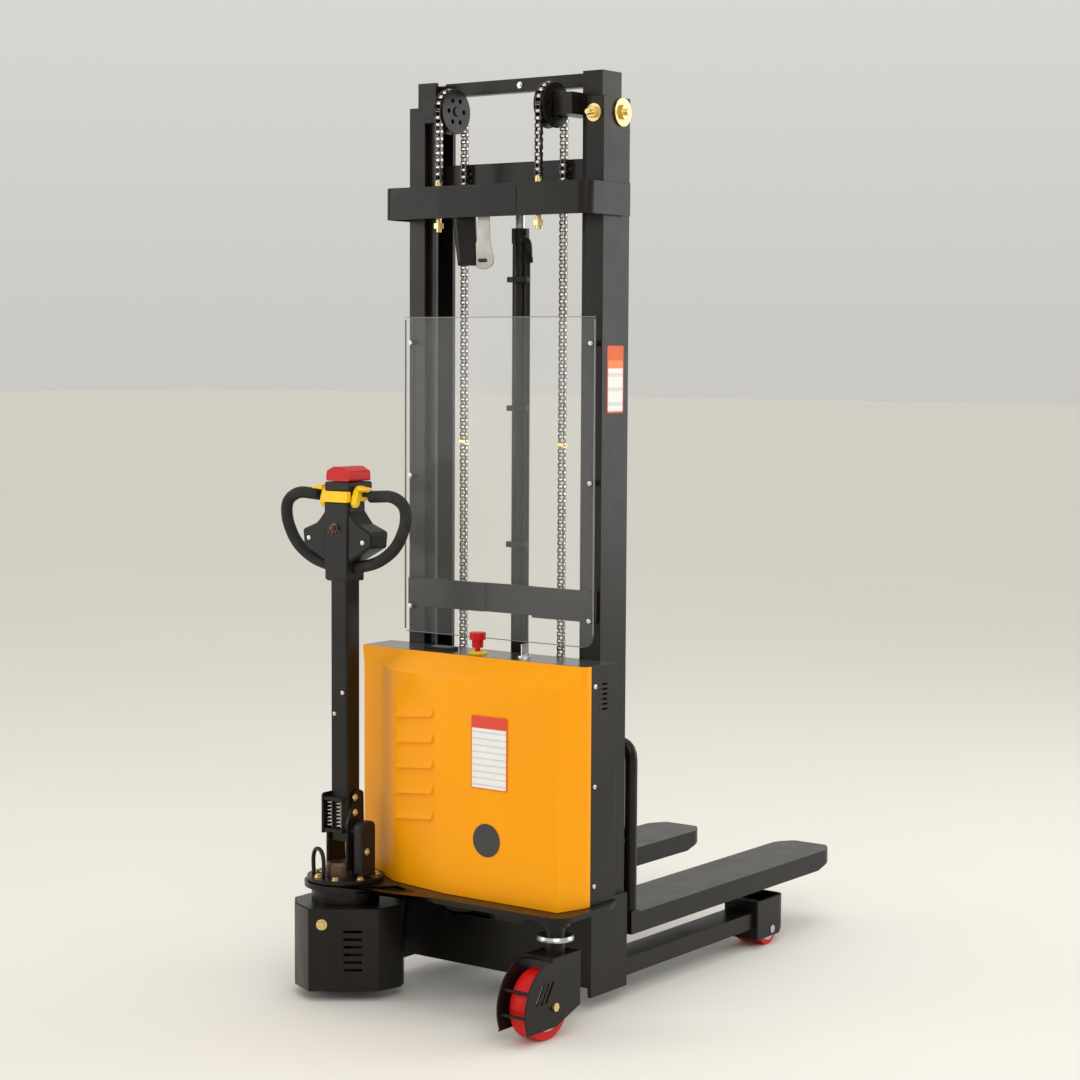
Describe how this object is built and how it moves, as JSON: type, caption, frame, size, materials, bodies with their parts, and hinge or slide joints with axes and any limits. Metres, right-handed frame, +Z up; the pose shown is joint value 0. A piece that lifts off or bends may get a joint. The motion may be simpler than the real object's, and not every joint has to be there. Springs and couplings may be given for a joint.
{
  "type": "walkie stacker",
  "caption": "Pedestrian pallet stacker with two-stage chain-lift mast, forks over outriggers, steered drive wheel under an offset tiller, side caster and clear guard.",
  "frame": {"origin": "middle of the machine's footprint box on the floor", "axes": "+Z up, +Y from the tiller toward the fork tips, +X to the right of a person walking behind the tiller"},
  "size_m": [0.829, 1.4299, 2.077],
  "materials": {
    "battery_grey": "matt",
    "black_plastic": "fine texture",
    "black_rubber": "matt",
    "bright_steel": "brushed",
    "chain_steel": "oiled",
    "clear_sheet": "clear",
    "cover_yellow": "gloss",
    "red_poly": "satin",
    "satin_black": "satin",
    "yellow_plastic": "satin",
    "zinc_yellow": "yellow passivated"
  },
  "bodies": {
    "truck": {"chassis_frame": "satin_black", "outrigger_l": "satin_black", "outrigger_r": "satin_black", "load_axle_l": "bright_steel", "load_axle_r": "bright_steel", "mast_outer_l": "satin_black", "mast_outer_r": "satin_black", "guide_stud_l": "zinc_yellow", "guide_stud_r": "zinc_yellow", "upper_beam": "satin_black", "chain_anchor_l": "zinc_yellow", "chain_anchor_r": "zinc_yellow", "mast_tie": "satin_black", "guard_screen": "clear_sheet", "lift_cylinder": "satin_black", "feed_pipe": "satin_black", "feed_hose": "black_rubber", "chain_rear_l": "chain_steel", "chain_rear_r": "chain_steel", "rear_cover": "cover_yellow", "side_housing_l": "satin_black", "side_housing_r": "satin_black", "top_panel": "black_plastic", "battery": "battery_grey", "pump_unit": "satin_black", "controller": "black_plastic"},
    "inner_mast": {"mast_inner": "satin_black", "piston_rod": "bright_steel", "chain_wrap_l": "chain_steel", "chain_wrap_r": "chain_steel", "chain_front_l": "chain_steel", "chain_front_r": "chain_steel"},
    "chain_wheel_left": {"chain_wheel_l": "satin_black"},
    "chain_wheel_right": {"chain_wheel_r": "satin_black"},
    "fork_carriage": {"carriage": "satin_black", "fork_l": "satin_black", "fork_r": "satin_black", "backrest": "satin_black"},
    "load_roll_left": {"load_roller_l": "red_poly"},
    "load_roll_right": {"load_roller_r": "red_poly"},
    "drive_unit": {"drive_head": "satin_black", "drive_motor": "satin_black", "drive_cover": "satin_black", "tiller_bracket": "satin_black", "tiller_pin": "zinc_yellow"},
    "drive_roll": {"drive_wheel": "black_rubber"},
    "tiller": {"tiller_arm": "satin_black", "tiller_head": "black_plastic", "hand_loop_l": "black_rubber", "hand_loop_r": "black_rubber"},
    "throttle_left": {"throttle_l": "yellow_plastic"},
    "throttle_right": {"throttle_r": "yellow_plastic"},
    "safety_button": {"belly_button": "red_poly"},
    "horn": {"horn_button": "yellow_plastic"},
    "rocker": {"lift_rocker": "yellow_plastic"},
    "caster_unit": {"caster_fork": "satin_black", "caster_axle": "zinc_yellow"},
    "caster_roll": {"caster_wheel": "red_poly"},
    "emergency_stop": {"stop_knob": "red_poly"},
    "key": {"key_switch": "bright_steel"}
  },
  "joints": [
    {"name": "mast_lift", "type": "slide", "parent": "truck", "child": "inner_mast", "axis": [0, 0, 1], "range_m": [0, 1.4], "deforming": ["chain_rear_l", "chain_rear_r"]},
    {"name": "carriage_lift", "type": "slide", "parent": "inner_mast", "child": "fork_carriage", "axis": [0, 0, 1], "range_m": [0, 1.4], "deforming": ["chain_front_l", "chain_front_r"]},
    {"name": "chain_wheel_turn_left", "type": "hinge", "parent": "inner_mast", "child": "chain_wheel_left", "pos_m": [-0.0775, -0.363, 2.005], "axis": [1, 0, 0], "range_deg": [0, 1710]},
    {"name": "chain_wheel_turn_right", "type": "hinge", "parent": "inner_mast", "child": "chain_wheel_right", "pos_m": [0.2025, -0.363, 2.005], "axis": [1, 0, 0], "range_deg": [0, 1710]},
    {"name": "load_roller_turn_left", "type": "hinge", "parent": "truck", "child": "load_roll_left", "pos_m": [-0.172, 0.385, 0.04], "axis": [1, 0, 0], "continuous": true},
    {"name": "load_roller_turn_right", "type": "hinge", "parent": "truck", "child": "load_roll_right", "pos_m": [0.297, 0.385, 0.04], "axis": [1, 0, 0], "continuous": true},
    {"name": "steer", "type": "hinge", "parent": "truck", "child": "drive_unit", "pos_m": [-0.2225, -0.566, 0.09], "axis": [0, 0, 1], "range_deg": [-75, 75]},
    {"name": "drive_wheel_turn", "type": "hinge", "parent": "drive_unit", "child": "drive_roll", "pos_m": [-0.2225, -0.566, 0.09], "axis": [1, 0, 0], "continuous": true},
    {"name": "tiller_tilt", "type": "hinge", "parent": "drive_unit", "child": "tiller", "pos_m": [-0.2225, -0.566, 0.37], "axis": [1, 0, 0], "range_deg": [0, 75], "stiffness_Nm_per_rad": 30, "springref_deg": -17.19},
    {"name": "throttle_turn_left", "type": "hinge", "parent": "tiller", "child": "throttle_left", "pos_m": [-0.2225, -0.566, 1.141], "axis": [1, 0, 0], "range_deg": [-30, 30], "stiffness_Nm_per_rad": 0.6},
    {"name": "throttle_turn_right", "type": "hinge", "parent": "tiller", "child": "throttle_right", "pos_m": [-0.2225, -0.566, 1.141], "axis": [1, 0, 0], "range_deg": [-30, 30], "stiffness_Nm_per_rad": 0.6},
    {"name": "safety_button_push", "type": "slide", "parent": "tiller", "child": "safety_button", "axis": [0, 1, 0], "range_m": [0, 0.006], "stiffness_N_per_m": 500},
    {"name": "horn_push", "type": "slide", "parent": "tiller", "child": "horn", "axis": [0, 1, 0], "range_m": [0, 0.003], "stiffness_N_per_m": 400},
    {"name": "lift_rocker_tilt", "type": "hinge", "parent": "tiller", "child": "rocker", "pos_m": [-0.2225, -0.54, 1.103], "axis": [1, 0, 0], "range_deg": [-4, 4], "stiffness_Nm_per_rad": 0.8},
    {"name": "caster_swivel", "type": "hinge", "parent": "truck", "child": "caster_unit", "pos_m": [0.3675, -0.558, 0.075], "axis": [0, 0, 1], "continuous": true},
    {"name": "caster_wheel_turn", "type": "hinge", "parent": "caster_unit", "child": "caster_roll", "pos_m": [0.3675, -0.615, 0.075], "axis": [1, 0, 0], "continuous": true},
    {"name": "emergency_stop_push", "type": "slide", "parent": "truck", "child": "emergency_stop", "axis": [0, 0, 1], "range_m": [-0.008, 0]},
    {"name": "key_turn", "type": "hinge", "parent": "truck", "child": "key", "pos_m": [0.1725, -0.413, 0.785], "axis": [0, 0, 1], "range_deg": [0, 60]}
  ],
  "couplings": [
    {"joint": "carriage_lift", "follows": "mast_lift", "ratio": 1},
    {"joint": "chain_wheel_turn_left", "follows": "mast_lift", "rad_per_m": 21.277},
    {"joint": "chain_wheel_turn_right", "follows": "mast_lift", "rad_per_m": 21.277},
    {"joint": "throttle_turn_left", "follows": "throttle_turn_right", "ratio": 1}
  ]
}
